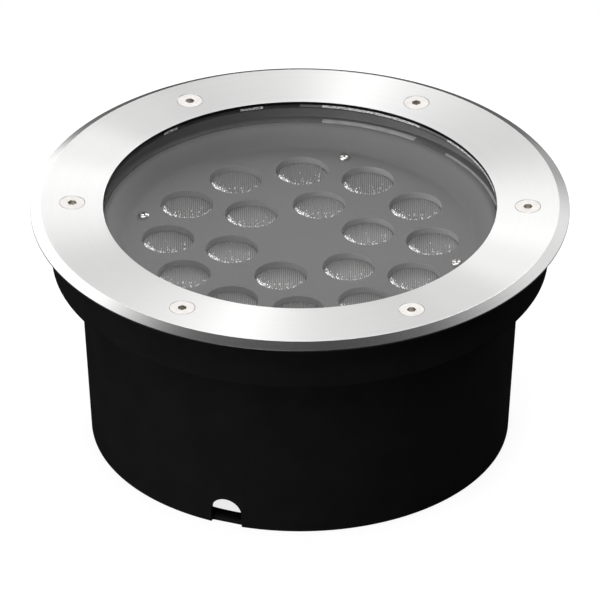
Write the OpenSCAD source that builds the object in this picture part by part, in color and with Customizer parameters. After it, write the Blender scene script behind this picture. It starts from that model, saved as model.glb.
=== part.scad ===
// Round in-ground light: a sealed LED lamp under a steel bezel, standing in a plastic ground sleeve.
// Z is up and the base of the sleeve is at zero. The two cable notches of the sleeve lie on the Y axis.

/* [Overall] */
// Height from the base of the sleeve to the face of the bezel
overall_h = 104; // [100:0.5:114]
// Turn of the screws and lenses from the cable notches, in degrees
lamp_turn = 19.7; // [0:0.1:60]

/* [Bezel] */
// Outer diameter of the bezel
bezel_d = 220; // [216:1:236]
// Thickness of the bezel
bezel_t = 2.5; // [2.2:0.1:3.5]
// Width of the bezel from its outer edge to the clear opening
face_w = 29.7; // [28.5:0.1:31]
// Width of the sloping outer edge, across the face
slope_w = 4.2; // [2:0.1:6]
// Drop of the sloping outer edge
slope_h = 2; // [1:0.1:2]

/* [Bezel screws] */
// Number of countersunk screws
screw_count = 6; // [4:1:8]
// Thread diameter of a screw
screw_d = 5; // [4:0.5:6]
// Diameter of a countersunk head
screw_head_d = 10; // [9:0.2:11]
// Length of a screw, head included
screw_len = 16; // [12:1:17]
// Width across the flats of the hex socket
socket_af = 3; // [2.5:0.1:3.5]
// Depth of the hex socket
socket_depth = 2; // [1:0.1:2.4]

/* [Glass and gaskets] */
// Depth of the glass face below the face of the bezel
glass_recess = 1.2; // [0.4:0.1:2]
// Radial gap between the raised face of the glass and the bezel
glass_gap = 0.6; // [0.3:0.1:1.2]
// Reach of the glass flange under the bezel
glass_overlap = 5; // [4:0.1:5.8]
// Thickness of the glass flange
glass_flange_t = 6.7; // [5:0.1:8]
// Thickness of the gasket between bezel and glass
top_gasket_t = 0.8; // [0.5:0.1:1.2]
// Thickness of the seat gasket under the glass
seat_gasket_t = 1; // [0.6:0.1:1.5]
// Thickness of the seat gasket round the edge of the glass
edge_gasket_t = 1.8; // [1:0.1:2.2]

/* [Ground sleeve] */
// How far the bezel reaches past the sleeve, all round
bezel_overhang = 8.7; // [6:0.1:11]
// Wall thickness of the sleeve
sleeve_t = 2; // [1.6:0.1:2.8]
// Height of the wide band at the top of the sleeve
band_h = 23.1; // [21:0.1:27]
// Width of the step from the band in to the main wall
step_w = 11.3; // [9:0.1:12]
// Narrowing of the main wall from the step down to the base, on each side
taper_w = 4.7; // [1:0.1:6]
// Width of the lip that turns in at the base
lip_w = 6; // [3:0.5:10]
// Thickness of the lip at the base
lip_t = 2; // [1.5:0.1:3]
// Width of a cable notch
notch_w = 13.2; // [9:0.1:18]
// Height of a cable notch above the base
notch_h = 12.5; // [10:0.1:16]

/* [Reflector] */
// Depth of the reflector floor below the face of the bezel
reflector_depth = 17.1; // [15.5:0.1:19]
// How far the rim of the reflector reaches under the bezel
rim_hide = 0.6; // [0.2:0.1:1]
// Width of the sloping side of the dish
dish_slope_w = 9.8; // [8:0.1:10]
// Wall thickness of the reflector
reflector_t = 2; // [1.5:0.1:2.2]
// Narrowest distance between two lens pockets of the outer ring
pocket_gap = 6.35; // [5.5:0.05:8]
// Distance from the outer lens pockets to the edge of the flat floor
pocket_margin = 5.3; // [4.5:0.1:7]
// Depth of the lens face below the reflector floor
lens_recess = 2.5; // [1:0.1:3]
// Number of lenses in the outer ring
outer_count = 12; // [12:1:14]
// Number of lenses in the inner ring
inner_count = 6; // [3:1:6]
// Radius of the inner ring of lenses as a share of the outer ring
inner_share = 0.53; // [0.5:0.01:0.54]
// Distance of the reflector screws from the edge of the flat floor
post_margin = 3.6; // [3:0.1:5]

/* [Lens and LED] */
// Height of a lens
lens_h = 11.2; // [9:0.1:12]
// Diameter of the narrow end of a lens
lens_base_d = 8.6; // [8:0.1:10]
// Thickness of the lens flange
lens_flange_t = 1.5; // [1:0.1:2]
// Side of the square LED package
led_side = 3.5; // [3:0.1:3.8]
// Thickness of the LED package
led_t = 0.7; // [0.5:0.1:0.9]
// Thickness of the LED board
board_t = 1.6; // [1:0.1:2]
// Thickness of the thermal pad
pad_t = 0.4; // [0.2:0.1:1]

/* [Lamp body] */
// Radial gap between the lamp body and the sleeve band
drop_in_gap = 0.8; // [0.5:0.1:1.2]
// Wall thickness of the pot
pot_t = 3; // [2.5:0.1:3.4]
// Thickness of the floor between lamp and driver chamber
floor_t = 4; // [3.5:0.1:6]
// Outer diameter of the driver chamber
chamber_d = 120; // [118:1:128]
// Wall thickness of the driver chamber
chamber_t = 3.5; // [3:0.1:4.5]
// Inner height of the driver chamber
chamber_h = 29; // [28:0.5:31]
// Number of cooling fins
fin_count = 24; // [12:2:30]
// Thickness of a fin
fin_t = 2.2; // [1.5:0.1:3]
// Gap between the fin tips and the sleeve
fin_gap = 3.3; // [2:0.1:10]
// Height of a fin
fin_h = 24; // [12:0.5:27]

/* [Bottom cover and glands] */
// Thickness of the cover gasket
cover_gasket_t = 1; // [0.5:0.1:1.5]
// Thickness of the bottom cover
cover_t = 3; // [2.5:0.1:4]
// Number of cover screws
cover_screw_count = 6; // [4:1:8]
// Distance between the two cable glands
gland_spacing = 52; // [46:1:56]
// Thread diameter of a cable gland
gland_d = 16; // [15:0.5:17]
// Width across the flats of the gland body and its nut
gland_af = 19; // [18.4:0.1:21]
// Diameter of the cable hole in the gland seal
cable_d = 7; // [5:0.1:8]

/* [Driver] */
// Length of the driver case
driver_l = 70; // [62:1:72]
// Width of the driver case
driver_w = 30; // [26:1:31]
// Height of the driver case
driver_h = 20; // [18:0.5:21]
// Wall thickness of the driver case
driver_wall = 1.5; // [1:0.1:2]
// Diameter of an insulated lead
lead_d = 1.8; // [1.2:0.1:2]
// Length of the terminal block
terminal_l = 36; // [34:1:40]

/* [Hidden] */
$fn = 96;
LENS_COUNT = outer_count + inner_count;
function lens_name(i) = str("lens_", i < 9 ? "0" : "", i + 1);

// Overshoot of a cutting shape past the face it cuts, and the clearances between pieces
cut = 1;
clr = 0.1;
loose = 0.3;

// Heights, from the top down
z_face = overall_h;
z_bezel = z_face - bezel_t;
z_glass_face = z_face - glass_recess;
z_glass_flange = z_bezel - top_gasket_t;
z_glass_base = z_glass_flange - glass_flange_t;
z_seat = z_glass_base - seat_gasket_t;
ledge_t = 3;
z_ledge = z_seat - ledge_t;
rim_drop = 0.2;
z_rim = z_glass_base - rim_drop;
z_dish = z_face - reflector_depth;
z_dish_under = z_dish - reflector_t;
z_lens = z_dish - lens_recess;
z_lens_base = z_lens - lens_h;
lens_standoff = 1.2;
z_board = z_lens_base - lens_standoff;
z_floor = z_board - board_t - pad_t;
z_ceiling = z_floor - floor_t;
z_chamber = z_ceiling - chamber_h;
z_cover = z_chamber - cover_gasket_t;
z_cover_under = z_cover - cover_t;
z_step = z_bezel - band_h;
z_step_top = z_step + sleeve_t;

// Radii, from the outside in
bezel_r = bezel_d / 2;
opening_r = bezel_r - face_w;
band_r = bezel_r - bezel_overhang;
waist_r = band_r - step_w;
base_r = waist_r - taper_w;
flange_r = band_r - sleeve_t - drop_in_gap;
glass_r = opening_r + glass_overlap;
edge_gasket_r = glass_r + clr + edge_gasket_t;
seat_r = edge_gasket_r + clr;
screw_ring_r = (seat_r + flange_r) / 2;
rim_r = opening_r + rim_hide;
rim_w = 1;
rim_gap = 0.4;
bore_r = rim_r + rim_gap;
pot_r = bore_r + pot_t;
chamber_r = chamber_d / 2;
chamber_bore_r = chamber_r - chamber_t;
fin_r = base_r - sleeve_t - fin_gap;

// Lenses, posts and boards: the pockets of the outer ring fill it, apart from the gaps between them
dish_r = rim_r - rim_w - dish_slope_w;
lens_pitch = 360 / outer_count;
inner_shift = lens_pitch / 2;
outer_ring_r = (dish_r - pocket_margin + pocket_gap / 2) / (1 + sin(lens_pitch / 2));
inner_ring_r = outer_ring_r * inner_share;
pocket_r = outer_ring_r * sin(lens_pitch / 2) - pocket_gap / 2;
lens_gap = 0.5;
lens_r = pocket_r - lens_gap;
collar_t = 1.4;
collar_h = 2.5;
post_ring_r = dish_r - post_margin;
post_count = 4;
post_r = 3.5;
post_gap = 2;
board_margin = 6.5;
board_r = post_ring_r + board_margin;
wire_hole_y = -9;
wire_hole_r = 4;

// Metric fasteners: thread, head and head height
m3 = [3, 5.6, 1.8];
m4 = [4, 7, 2.3];
m25 = [2.5, 5, 1.6];
thread_engage = 3;
tip_room = 0.5;

// Centres of the lenses, numbered round the outer ring and then the inner one
lens_places = concat(
    [for (i = [0:outer_count - 1]) polar(outer_ring_r, lamp_turn + i * lens_pitch)],
    [for (i = [0:inner_count - 1]) polar(inner_ring_r, lamp_turn + inner_shift + i * 360 / inner_count)]
);

function polar(r, a) = [r * cos(a), r * sin(a)];

// Copies its children round the Z axis at radius r, the first one at angle start
module ring_of(count, r, start = 0)
    for (i = [0:count - 1])
        rotate([0, 0, start + i * 360 / count])
            translate([r, 0, 0])
                children();

// Copies its children to every lens centre
module at_lenses()
    for (p = lens_places)
        translate([p.x, p.y, 0])
            children();

// A flat ring between two heights
module ring(r_in, r_out, z_low, z_high)
    rotate_extrude()
        translate([r_in, z_low])
            square([r_out - r_in, z_high - z_low]);

// A round bar between two heights
module bar(r, z_low, z_high)
    translate([0, 0, z_low])
        cylinder(r = r, h = z_high - z_low);

// A hexagonal bar between two heights, flats facing X
module hex_bar(across_flats, z_low, z_high)
    translate([0, 0, z_low])
        rotate([0, 0, 30])
            cylinder(r = across_flats / 2 / cos(30), h = z_high - z_low, $fn = 6);

// A box centred in X and Y between two heights
module block(size_x, size_y, z_low, z_high)
    translate([-size_x / 2, -size_y / 2, z_low])
        cube([size_x, size_y, z_high - z_low]);

// A pan head screw, head up, with its head seated at z = 0 and a cross recess
module pan_screw(size, length)
    difference() {
        rotate_extrude()
            polygon([
                [0, -length], [size[0] / 2, -length], [size[0] / 2, 0],
                [size[1] / 2, 0], [size[1] / 2, size[2] * 0.45],
                [size[1] * 0.36, size[2] * 0.88], [0, size[2]]
            ]);
        for (turn = [0, 90])
            rotate([0, 0, turn])
                block(size[1] * 0.62, size[1] * 0.15, size[2] * 0.35, size[2] + cut);
    }

// A swept round tube through a list of points
function unit(v) = v / norm(v);
function curve_at(p, i, t) =
    let (a = p[max(i - 1, 0)], b = p[i], c = p[i + 1], d = p[min(i + 2, len(p) - 1)])
    0.5 * (2 * b + (c - a) * t + (2 * a - 5 * b + 4 * c - d) * t * t + (3 * b - a - 3 * c + d) * t * t * t);
function smooth(p, steps) = concat(
    [for (i = [0:len(p) - 2]) for (k = [0:steps - 1]) curve_at(p, i, k / steps)],
    [p[len(p) - 1]]
);
function tangent(p, i) = unit(p[min(i + 1, len(p) - 1)] - p[max(i - 1, 0)]);
function square_to(v, t) = unit(v - (v * t) * t);
function side_vectors(p) =
    [for (i = 0, n = square_to([0.1, 0.2, 1], tangent(p, 0)); i < len(p);
          i = i + 1, n = i < len(p) ? square_to(n, tangent(p, i)) : n) n];
module tube(points, r, steps = 3, sides = 8) {
    p = smooth(points, steps);
    n = side_vectors(p);
    rings = len(p);
    vertices = [
        for (i = [0:rings - 1])
            let (b = cross(tangent(p, i), n[i]))
            for (k = [0:sides - 1])
                p[i] + r * (cos(k * 360 / sides) * n[i] + sin(k * 360 / sides) * b)
    ];
    walls = [
        for (i = [0:rings - 2])
            for (k = [0:sides - 1])
                let (a = i * sides + k, b = i * sides + (k + 1) % sides)
                for (f = [[a, a + sides, b], [b, a + sides, b + sides]]) f
    ];
    start_cap = [for (k = [0:sides - 1]) k];
    end_cap = [for (k = [sides - 1:-1:0]) (rings - 1) * sides + k];
    polyhedron(vertices, concat(walls, [start_cap], [end_cap]));
}

// Ground sleeve: a wide band, a step, a tapered wall and a lip at the base, open below
module sleeve() {
    color("#161616")
        difference() {
            rotate_extrude()
                polygon([
                    [base_r - sleeve_t - lip_w, 0], [base_r, 0], [waist_r, z_step],
                    [band_r, z_step], [band_r, z_bezel], [band_r - sleeve_t, z_bezel],
                    [band_r - sleeve_t, z_step_top], [waist_r - sleeve_t, z_step_top],
                    [base_r - sleeve_t, lip_t], [base_r - sleeve_t - lip_w, lip_t]
                ]);
            for (turn = [0, 180])
                rotate([0, 0, turn])
                    cable_notch();
        }
}

// A notch with a round top that goes through the wall and stops at the lip
module cable_notch() {
    notch_r = notch_w / 2;
    z_arch = notch_h - notch_r;
    wall_r = base_r - sleeve_t;
    draft = (waist_r - base_r) / z_step;
    translate([0, cut - wall_r, z_arch])
        rotate([90, 0, 0])
            cylinder(r = notch_r, h = sleeve_t + notch_h * draft + 2 * cut);
    translate([-notch_r, -base_r - cut, -cut])
        cube([notch_w, sleeve_t + cut, z_arch + cut]);
    translate([-notch_r, -wall_r - cut, lip_t])
        cube([notch_w, 3 * cut, z_arch - lip_t]);
}

// Steel ring with a sloping edge and countersunk holes
module bezel() {
    color("#d4d6d6")
        difference() {
            rotate_extrude()
                polygon([
                    [opening_r, z_bezel], [bezel_r, z_bezel], [bezel_r, z_face - slope_h],
                    [bezel_r - slope_w, z_face], [opening_r, z_face]
                ]);
            ring_of(screw_count, screw_ring_r, lamp_turn) {
                bar(screw_d / 2 + clr, z_bezel - cut, z_face + cut);
                translate([0, 0, z_face])
                    countersink(clr);
            }
        }
}

// The cone of a countersunk head, its top at z = 0, grown by a clearance
module countersink(grow) {
    cone_h = (screw_head_d - screw_d) / 2;
    translate([0, 0, -cone_h])
        cylinder(r1 = screw_d / 2 + grow, r2 = screw_head_d / 2 + grow, h = cone_h);
}

// Countersunk hex socket screws
module bezel_screws() {
    color("#e6e3dc")
        ring_of(screw_count, screw_ring_r, lamp_turn)
            difference() {
                union() {
                    translate([0, 0, z_face])
                        countersink(0);
                    bar(screw_d / 2, z_face - screw_len, z_face - (screw_head_d - screw_d) / 2);
                }
                hex_bar(socket_af, z_face - socket_depth, z_face + cut);
            }
}

// Flat gasket between bezel and glass flange, set back a little from the opening
top_gasket_inset = 0.4;
module top_gasket() {
    color("#1c1c1c")
        ring(opening_r + top_gasket_inset, edge_gasket_r, z_glass_flange, z_bezel);
}

// Stepped disc of toughened glass
module glass() {
    color([0.62, 0.64, 0.64, 0.35])
        union() {
            bar(glass_r, z_glass_base, z_glass_flange);
            bar(opening_r - glass_gap, z_glass_flange, z_glass_face);
        }
}

// Seat gasket of L section, under and round the glass
module seat_gasket() {
    color("#3c3c3a")
        rotate_extrude()
            polygon([
                [bore_r, z_seat], [edge_gasket_r, z_seat], [edge_gasket_r, z_glass_flange],
                [glass_r + clr, z_glass_flange], [glass_r + clr, z_glass_base], [bore_r, z_glass_base]
            ]);
}

// Half of the dish section: rim, smooth slope and floor, from the rim inwards
slope_steps = 8;
dish_outline = [
    for (i = [0:slope_steps])
        let (t = i / slope_steps)
        [dish_r + (1 - t) * dish_slope_w, z_dish + (z_rim - z_dish) * (1 + cos(180 * t)) / 2]
];

// Dished plate with a pocket and a collar for each lens
module reflector() {
    color("#7a7a7a")
        difference() {
            union() {
                rotate_extrude()
                    polygon(concat(
                        [[0, z_dish_under], [0, z_dish]],
                        [for (i = [slope_steps:-1:0]) dish_outline[i]],
                        [[rim_r, z_rim], [rim_r, z_rim - reflector_t]],
                        [for (p = dish_outline) [p.x - reflector_t / 2, p.y - reflector_t]]
                    ));
                at_lenses()
                    bar(pocket_r + collar_t, z_dish_under - collar_h, z_dish - reflector_t / 2);
            }
            at_lenses()
                bar(pocket_r, z_dish_under - collar_h - cut, z_dish + cut);
            at_posts()
                bar(m25[0] / 2 + loose, z_dish_under - cut, z_dish + cut);
        }
}

// Copies its children to evenly spread gaps between the outer lenses, from the gap with number first
module at_gaps(first)
    for (i = [0:post_count - 1])
        rotate([0, 0, lamp_turn + (round(i * outer_count / post_count) + first + 0.5) * lens_pitch])
            translate([post_ring_r, 0, 0])
                children();

// Posts that carry the reflector
module at_posts()
    at_gaps(post_gap)
        children();

post_hole_h = 7;
module reflector_screws() {
    color("#d8d8d8")
        at_posts()
            translate([0, 0, z_dish])
                pan_screw(m25, reflector_t + post_hole_h - tip_room);
}

// One lens: a flange, a cone that narrows to the LED and a hollow over it
module lens(i) {
    p = lens_places[i];
    hollow_r = led_side * 0.78;
    z_hollow = z_lens_base + led_side;
    hollow_tip = 0.8;
    color([0.85, 0.87, 0.87, 0.5])
        translate([p.x, p.y, 0])
            rotate_extrude()
                polygon([
                    [0, z_lens], [lens_r, z_lens], [lens_r, z_lens - lens_flange_t],
                    [lens_r - 1, z_lens - lens_flange_t], [lens_base_d / 2, z_lens_base],
                    [hollow_r, z_lens_base], [hollow_r, z_hollow], [0, z_hollow + hollow_tip]
                ]);
}

// Cups that hold the lenses over the LEDs, standing on the board
holder_t = 3;
module lens_holders() {
    seat = z_lens - lens_flange_t;
    shoulder = z_dish_under - collar_h - loose;
    cup_r = pocket_r + collar_t - loose;
    foot_r = lens_base_d / 2 + holder_t;
    window_r = led_side * 0.86;
    color("#e8e8e4")
        at_lenses()
            rotate_extrude()
                polygon([
                    [window_r, z_board], [foot_r, z_board],
                    [foot_r, z_board + holder_t], [cup_r, shoulder - 1], [cup_r, shoulder],
                    [lens_r, shoulder], [lens_r, seat], [lens_r - 1 + loose, seat],
                    [lens_base_d / 2 + loose, z_lens_base], [window_r, z_lens_base]
                ]);
}

// Square packages with a domed window
module led_packages() {
    dome_r = led_side * 0.38;
    color("#efe6a8")
        at_lenses()
            union() {
                block(led_side, led_side, z_board, z_board + led_t);
                rotate_extrude()
                    translate([0, z_board + led_t])
                        intersection() {
                            circle(r = dome_r);
                            translate([0, -0.01])
                                square(dome_r + cut);
                        }
            }
}

// Holes shared by the LED board and the thermal pad, wide enough for the lip of the grommet
grommet_lip = 1.6;
lip_room = 0.8;
module board_holes(z_low, z_high) {
    at_posts()
        bar(post_r + loose, z_low - cut, z_high + cut);
    at_board_screws()
        bar(m3[0] / 2 + clr, z_low - cut, z_high + cut);
    translate([0, wire_hole_y, 0])
        bar(wire_hole_r + grommet_lip + lip_room, z_low - cut, z_high + cut);
}

// The board screws stand in the gaps next to the posts
module at_board_screws()
    at_gaps(post_gap + 1)
        children();

module led_board() {
    color("#f2f2ee")
        difference() {
            bar(board_r, z_board - board_t, z_board);
            board_holes(z_board - board_t, z_board);
        }
}

module thermal_pad() {
    color("#9fb4c4")
        difference() {
            bar(board_r - 1, z_floor, z_floor + pad_t);
            board_holes(z_floor, z_floor + pad_t);
        }
}

module board_screws() {
    color("#d8d8d8")
        at_board_screws()
            translate([0, 0, z_board])
                pan_screw(m3, board_t + pad_t + thread_engage - tip_room);
}

// Die-cast body: seat of the glass, pot, floor, driver chamber, fins, bosses and posts
module lamp_body() {
    boss_wall = 2.5;
    boss_r = screw_d / 2 + boss_wall;
    boss_floor = 2;
    boss_gap = 1.4;
    lead_in = 0.5;
    z_boss = z_step_top + boss_gap;
    color("#55585a")
        difference() {
            union() {
                body_shell();
                ring_of(screw_count, screw_ring_r, lamp_turn)
                    bar(boss_r, z_boss, z_seat);
                at_posts()
                    bar(post_r, z_floor - cut, z_dish_under);
                ring_of(fin_count, 0, 180 / fin_count)
                    translate([chamber_r - cut, -fin_t / 2, z_ceiling - fin_h])
                        cube([fin_r - chamber_r + cut, fin_t, fin_h + cut]);
            }
            chamber_space(z_chamber - cut, z_ceiling);
            ring_of(screw_count, screw_ring_r, lamp_turn) {
                bar(screw_d / 2 + clr, z_boss + boss_floor, z_bezel + cut);
                translate([0, 0, z_face - lead_in])
                    countersink(clr);
            }
            at_posts()
                bar(m25[0] / 2 + clr, z_dish_under - post_hole_h, z_dish_under + cut);
            at_board_screws()
                bar(m3[0] / 2 + clr, z_floor - thread_engage, z_floor + cut);
            translate([0, wire_hole_y, 0])
                bar(wire_hole_r, z_ceiling - cut, z_floor + cut);
            at_cover_screws()
                bar(m4[0] / 2 + clr, z_chamber - cut, z_chamber + cover_engage + tip_room);
            at_driver_ears()
                bar(m3[0] / 2 + clr, z_ceiling - cut, z_ceiling + thread_engage);
            translate([terminal_x, terminal_y, 0])
                at_terminal_screws()
                    bar(m25[0] / 2 + clr, z_ceiling - cut, z_ceiling + thread_engage);
            translate([earth_x, earth_y, 0])
                bar(m4[0] / 2 + clr, z_ceiling - cut, z_ceiling + thread_engage);
        }
}

// The turned outside of the body with the pot and the seat of the glass, before the chamber is cut
module body_shell()
    rotate_extrude()
        polygon([
            [0, z_chamber], [chamber_r, z_chamber], [chamber_r, z_ceiling], [pot_r, z_ceiling],
            [pot_r, z_ledge], [flange_r, z_ledge], [flange_r, z_bezel],
            [seat_r, z_bezel], [seat_r, z_seat], [bore_r, z_seat],
            [bore_r, z_floor], [0, z_floor]
        ]);

// Screws of the bottom cover, in bosses inside the chamber wall
cover_boss_r = 4;
cover_engage = 8;
cover_screw_r = chamber_bore_r - cover_boss_r + 1;
module at_cover_screws()
    ring_of(cover_screw_count, cover_screw_r, 180 / cover_screw_count)
        children();

// The space inside the chamber wall and around the bosses
module chamber_space(z_low, z_high)
    difference() {
        bar(chamber_bore_r, z_low, z_high);
        at_cover_screws()
            bar(cover_boss_r, z_low - cut, z_high + cut);
    }

module cover_gasket() {
    color("#2b2b2b")
        difference() {
            bar(chamber_r, z_cover, z_chamber);
            chamber_space(z_cover - cut, z_chamber + cut);
            cover_holes();
        }
}

module cover_holes()
    at_cover_screws()
        bar(m4[0] / 2 + clr, z_cover_under - cut, z_chamber + cut);

module bottom_cover() {
    color("#55585a")
        difference() {
            bar(chamber_r, z_cover_under, z_cover);
            cover_holes();
            at_glands()
                bar(gland_d / 2 + clr, z_cover_under - cut, z_cover + cut);
        }
}

module cover_screws() {
    color("#d8d8d8")
        at_cover_screws()
            translate([0, 0, z_cover_under])
                rotate([180, 0, 0])
                    pan_screw(m4, cover_t + cover_gasket_t + cover_engage);
}

// Cable glands: washer, threaded body, locknut, seal and clamping nut
gland_washer_t = 1.2;
gland_hex_h = 4.5;
gland_stub_h = 9;
gland_stub_r = gland_d / 2 - 0.5;
seal_t = 1.8;
gland_bore_r = cable_d / 2 + seal_t;
gland_nut_h = 13;
gland_nut_wall = 2.5;
locknut_h = 4;
gland_thread_out = 1.5;
z_thread = z_cover + locknut_h + gland_thread_out;
z_washer = z_cover_under - gland_washer_t;
z_hex = z_washer - gland_hex_h;
z_stub = z_hex - gland_stub_h;
z_nut = z_hex - gland_nut_h;

module at_glands()
    for (x = [-gland_spacing / 2, gland_spacing / 2])
        translate([x, 0, 0])
            children();

module gland_washers() {
    color("#2b2b2b")
        at_glands()
            ring(gland_d / 2 + clr, gland_af / 2, z_washer, z_cover_under);
}

module gland_bodies() {
    color("#c8c6be")
        at_glands()
            difference() {
                union() {
                    bar(gland_d / 2, z_hex, z_thread);
                    hex_bar(gland_af, z_hex, z_washer);
                    bar(gland_stub_r, z_stub, z_hex + cut);
                }
                bar(gland_bore_r, z_stub - cut, z_thread + cut);
            }
}

module gland_locknuts() {
    color("#c8c6be")
        at_glands()
            difference() {
                hex_bar(gland_af, z_cover, z_cover + locknut_h);
                bar(gland_d / 2 + clr, z_cover - cut, z_cover + locknut_h + cut);
            }
}

module gland_seals() {
    color("#2b2b2b")
        at_glands()
            ring(cable_d / 2, gland_bore_r - clr, z_nut + gland_nut_wall, z_hex);
}

module gland_nuts() {
    nut_r = gland_af / 2 / cos(30);
    z_crown = z_nut + 4.5;
    z_cone = z_nut + 1.6;
    color("#c8c6be")
        at_glands()
            difference() {
                intersection() {
                    hex_bar(gland_af, z_nut, z_hex);
                    rotate_extrude()
                        polygon([
                            [0, z_nut], [nut_r * 0.62, z_nut], [nut_r * 0.86, z_cone],
                            [nut_r * 0.96, z_crown], [nut_r + cut, z_crown],
                            [nut_r + cut, z_hex - clr], [0, z_hex - clr]
                        ]);
                }
                bar(cable_d / 2 + loose, z_nut - cut, z_hex + cut);
                bar(gland_stub_r + clr, z_nut + gland_nut_wall, z_hex + cut);
            }
}

// Driver: a case on the ceiling of the chamber, with ears at both ends
driver_y = 14;
ear_l = 8;
ear_w = 10;
ear_t = 2;
ear_screw_x = driver_l / 2 + ear_l / 2;
z_driver = z_ceiling - driver_h;
z_lead_hole = z_ceiling - 10;
lead_spread = 3;
module at_driver_ears()
    for (x = [-ear_screw_x, ear_screw_x])
        translate([x, driver_y, 0])
            children();

module driver_case() {
    color("#e9e9e6")
        difference() {
            translate([0, driver_y, 0]) {
                block(driver_l, driver_w, z_driver + driver_wall, z_ceiling);
                block(driver_l + 2 * ear_l, ear_w, z_ceiling - ear_t, z_ceiling);
            }
            translate([0, driver_y, 0])
                block(driver_l - 2 * driver_wall, driver_w - 2 * driver_wall,
                      z_driver, z_ceiling - driver_wall);
            at_driver_ears()
                bar(m3[0] / 2 + clr, z_ceiling - ear_t - cut, z_ceiling + cut);
            for (y = [driver_y - lead_spread, driver_y + lead_spread])
                translate([-driver_l / 2 - cut, y, z_lead_hole])
                    rotate([0, 90, 0])
                        cylinder(r = lead_d / 2 + loose, h = driver_l + 2 * cut);
        }
}

// The lid has a rim that fits inside the walls of the case
lid_rim_h = 1.5;
module driver_lid() {
    lid_rim_l = driver_l - 2 * driver_wall - loose;
    lid_rim_w = driver_w - 2 * driver_wall - loose;
    color("#dcdcd8")
        translate([0, driver_y, 0]) {
            block(driver_l, driver_w, z_driver, z_driver + driver_wall);
            difference() {
                block(lid_rim_l, lid_rim_w, z_driver, z_driver + driver_wall + lid_rim_h);
                block(lid_rim_l - 2 * driver_wall, lid_rim_w - 2 * driver_wall,
                      z_driver + driver_wall, z_driver + driver_wall + lid_rim_h + cut);
            }
        }
}

module driver_screws() {
    color("#d8d8d8")
        at_driver_ears()
            translate([0, 0, z_ceiling - ear_t])
                rotate([180, 0, 0])
                    pan_screw(m3, ear_t + thread_engage - tip_room);
}

// The driver's circuit board hangs from the top of the case on two spacers, its parts below it
driver_board_t = 1.6;
spacer_h = 2.5;
spacer_side = 4;
spacer_inset = 6;
z_driver_board = z_ceiling - driver_wall - spacer_h - driver_board_t;
component_h = driver_h - 2 * driver_wall - spacer_h - driver_board_t - 2;
module driver_board() {
    color("#2f6b3c")
        translate([0, driver_y, 0]) {
            block(driver_l - 2 * driver_wall - 2 * loose, driver_w - 2 * driver_wall - 2 * loose,
                  z_driver_board, z_driver_board + driver_board_t);
            for (x = [-1, 1])
                translate([x * (driver_l / 2 - spacer_inset), 0, 0])
                    block(spacer_side, spacer_side, z_driver_board, z_ceiling - driver_wall);
        }
}

module driver_transformer() {
    core = [driver_w * 0.54, driver_w * 0.46];
    coil = [driver_w * 0.4, driver_w * 0.6];
    core_h = 2;
    color("#8a5a2c")
        translate([driver_l * 0.11, driver_y, 0]) {
            block(core.x, core.y, z_driver_board - core_h, z_driver_board);
            block(coil.x, coil.y, z_driver_board - component_h + core_h, z_driver_board - core_h);
            block(core.x, core.y, z_driver_board - component_h, z_driver_board - component_h + core_h);
        }
}

// Each capacitor has a place in the case, as a share of its length and width, and a radius
driver_capacitor_places = [[-0.31, 0.03, 4], [-0.14, 0.17, 3.2], [0.34, -0.2, 4]];
module driver_capacitors() {
    color("#26303a")
        for (c = driver_capacitor_places)
            translate([c.x * driver_l, driver_y + c.y * driver_w, 0])
                bar(c.z, z_driver_board - component_h, z_driver_board);
}

// Terminal block with three poles, screwed to the ceiling of the chamber
terminal_x = 0;
terminal_y = -27;
terminal_w = 14;
terminal_h = 13;
terminal_counterbore = 4;
pole_pitch = 10;
pole_screw_r = 1.5;
z_terminal = z_ceiling - terminal_h;
z_pole = z_ceiling - 6;
module at_terminal_screws()
    for (x = [-pole_pitch / 2, pole_pitch / 2])
        translate([x, 0, 0])
            children();

module at_poles()
    for (x = [-pole_pitch, 0, pole_pitch])
        translate([x, 0, 0])
            children();

module terminal_block() {
    color("#ecebe4")
        translate([terminal_x, terminal_y, 0])
            difference() {
                block(terminal_l, terminal_w, z_terminal, z_ceiling);
                at_poles() {
                    translate([0, terminal_w, z_pole])
                        rotate([90, 0, 0])
                            cylinder(r = lead_d / 2 + loose, h = 2 * terminal_w);
                    bar(pole_screw_r + clr, z_terminal - cut, z_pole);
                }
                at_terminal_screws() {
                    bar(m25[0] / 2 + clr, z_terminal - cut, z_ceiling + cut);
                    bar(m25[1] / 2 + clr, z_terminal - cut, z_terminal + terminal_counterbore);
                }
            }
}

module terminal_screws() {
    color("#d8d8d8")
        translate([terminal_x, terminal_y, 0]) {
            at_terminal_screws()
                translate([0, 0, z_terminal + terminal_counterbore])
                    rotate([180, 0, 0])
                        pan_screw(m25, terminal_h - terminal_counterbore + thread_engage - tip_room);
            at_poles()
                bar(pole_screw_r, z_terminal + 1, z_pole - lead_d / 2);
        }
}

// Earth screw and ring lug beside the terminal block
earth_x = 32;
earth_y = -13;
lug_t = 0.8;
lug_ring_r = 4.5;
lug_tongue_l = 8;
lug_barrel_r = 1.6;
lug_barrel_l = 5;
module earth_lug() {
    color("#c9a24a")
        translate([earth_x, earth_y, 0])
            difference() {
                union() {
                    bar(lug_ring_r, z_ceiling - lug_t, z_ceiling);
                    translate([-lug_tongue_l / 2, 0, 0])
                        block(lug_tongue_l, 2 * lug_barrel_r, z_ceiling - lug_t, z_ceiling);
                    translate([-lug_tongue_l - lug_barrel_l + cut, 0, z_ceiling - lug_barrel_r])
                        rotate([0, 90, 0])
                            cylinder(r = lug_barrel_r, h = lug_barrel_l);
                }
                bar(m4[0] / 2 + clr, z_ceiling - lug_t - cut, z_ceiling + cut);
            }
}

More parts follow.
